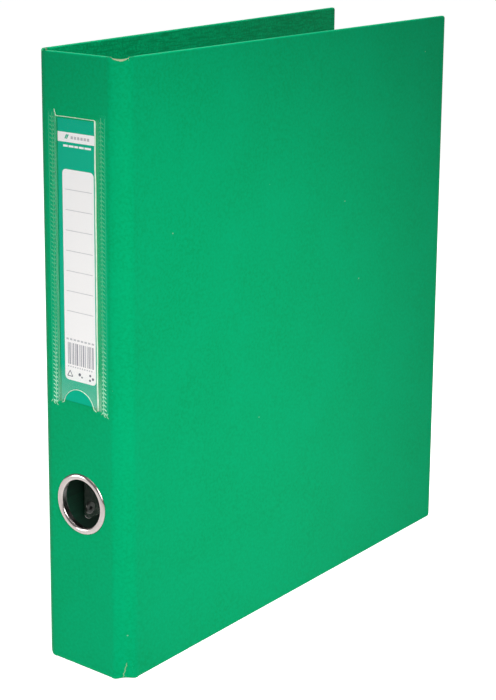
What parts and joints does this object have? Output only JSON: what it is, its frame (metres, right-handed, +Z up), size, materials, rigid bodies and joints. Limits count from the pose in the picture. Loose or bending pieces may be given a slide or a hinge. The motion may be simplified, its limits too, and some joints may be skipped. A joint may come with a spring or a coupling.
{
  "type": "lever arch file",
  "caption": "Narrow upright A4 lever arch file with folding covers, spine finger ring, welded label pocket and an inside lever mechanism that opens the filing arches.",
  "frame": {"origin": "middle of the footprint, on the surface that the file stands on", "axes": "+Z up along the file's height; the spine faces -Y and the fore edges +Y; the front cover is on +X and the back cover, which carries the mechanism, on -X"},
  "size_m": [0.0816, 0.2808, 0.318],
  "materials": {
    "green_foil": "matt embossed polypropylene foil with a fine leather grain",
    "grey_board": "dense grey board",
    "lining_paper": "smooth dark green lining paper",
    "hinge_foil": "matt polypropylene foil, creased at the folds",
    "ring_nickel": "bright nickel-plated steel",
    "pocket_film": "clear polypropylene film, welded at both sides",
    "label_paper": "printed label card, plain teal with a white writing panel",
    "plate_nickel": "nickel-plated sheet steel",
    "wire_nickel": "nickel-plated steel wire",
    "roller_plastic": "black acetal",
    "catch_plastic": "black moulded plastic"
  },
  "bodies": {
    "back_cover": {"back_board": "grey_board", "back_foil": "green_foil", "back_lining": "lining_paper", "base_plate": "plate_nickel", "lower_post": "wire_nickel", "upper_post": "wire_nickel", "lever_pin": "wire_nickel", "mechanism_rivets": "wire_nickel"},
    "back_strip": {"back_hinge_strip": "hinge_foil"},
    "spine": {"spine_board": "grey_board", "spine_foil": "green_foil", "spine_lining": "lining_paper", "finger_ring": "ring_nickel", "finger_ring_backing": "ring_nickel", "label_pocket": "pocket_film"},
    "front_strip": {"front_hinge_strip": "hinge_foil"},
    "front_cover": {"front_board": "grey_board", "front_foil": "green_foil", "front_lining": "lining_paper"},
    "arch": {"arch_wire": "wire_nickel"},
    "lever": {"lever": "plate_nickel", "roller_pin": "wire_nickel"},
    "roller": {"roller": "roller_plastic"},
    "compressor": {"compressor_bar": "plate_nickel"},
    "catch": {"compressor_catch": "catch_plastic"},
    "card": {"label_card": "label_paper"}
  },
  "joints": [
    {"name": "back_strip_fold", "type": "hinge", "parent": "back_cover", "child": "back_strip", "pos_m": [-0.02849, -0.13268, 0.159], "axis": [0, 0, -1], "range_deg": [-1.25, 43.75]},
    {"name": "spine_fold", "type": "hinge", "parent": "back_strip", "child": "spine", "pos_m": [-0.02199, -0.1389, 0.159], "axis": [0, 0, -1], "range_deg": [-1.25, 43.75]},
    {"name": "front_strip_fold", "type": "hinge", "parent": "spine", "child": "front_strip", "pos_m": [0.02199, -0.1389, 0.159], "axis": [0, 0, -1], "range_deg": [-1.25, 43.75]},
    {"name": "front_cover_fold", "type": "hinge", "parent": "front_strip", "child": "front_cover", "pos_m": [0.02849, -0.13268, 0.159], "axis": [0, 0, -1], "range_deg": [-1.25, 43.75]},
    {"name": "lever_lift", "type": "hinge", "parent": "back_cover", "child": "lever", "pos_m": [-0.01895, -0.08521, 0.159], "axis": [0, 0, 1], "range_deg": [0, 90]},
    {"name": "arch_swing", "type": "hinge", "parent": "back_cover", "child": "arch", "pos_m": [-0.02337, -0.10543, 0.159], "axis": [0, 0, -1], "range_deg": [0, 60]},
    {"name": "roller_spin", "type": "hinge", "parent": "lever", "child": "roller", "pos_m": [-0.01856, -0.09421, 0.159], "axis": [0, 0, 1], "continuous": true},
    {"name": "compressor_slide", "type": "slide", "parent": "back_cover", "child": "compressor", "axis": [0.999, 0.0436, 0], "range_m": [0, 0.011]},
    {"name": "catch_slide", "type": "slide", "parent": "compressor", "child": "catch", "axis": [0, 0, 1], "range_m": [0, 0.003]},
    {"name": "card_slide", "type": "slide", "parent": "spine", "child": "card", "axis": [0, 0, 1], "range_m": [0, 0.14]}
  ],
  "couplings": [
    {"joint": "back_strip_fold", "follows": "spine_fold", "ratio": 1},
    {"joint": "front_strip_fold", "follows": "front_cover_fold", "ratio": 1},
    {"joint": "arch_swing", "follows": "lever_lift", "ratio": 0.6666}
  ]
}
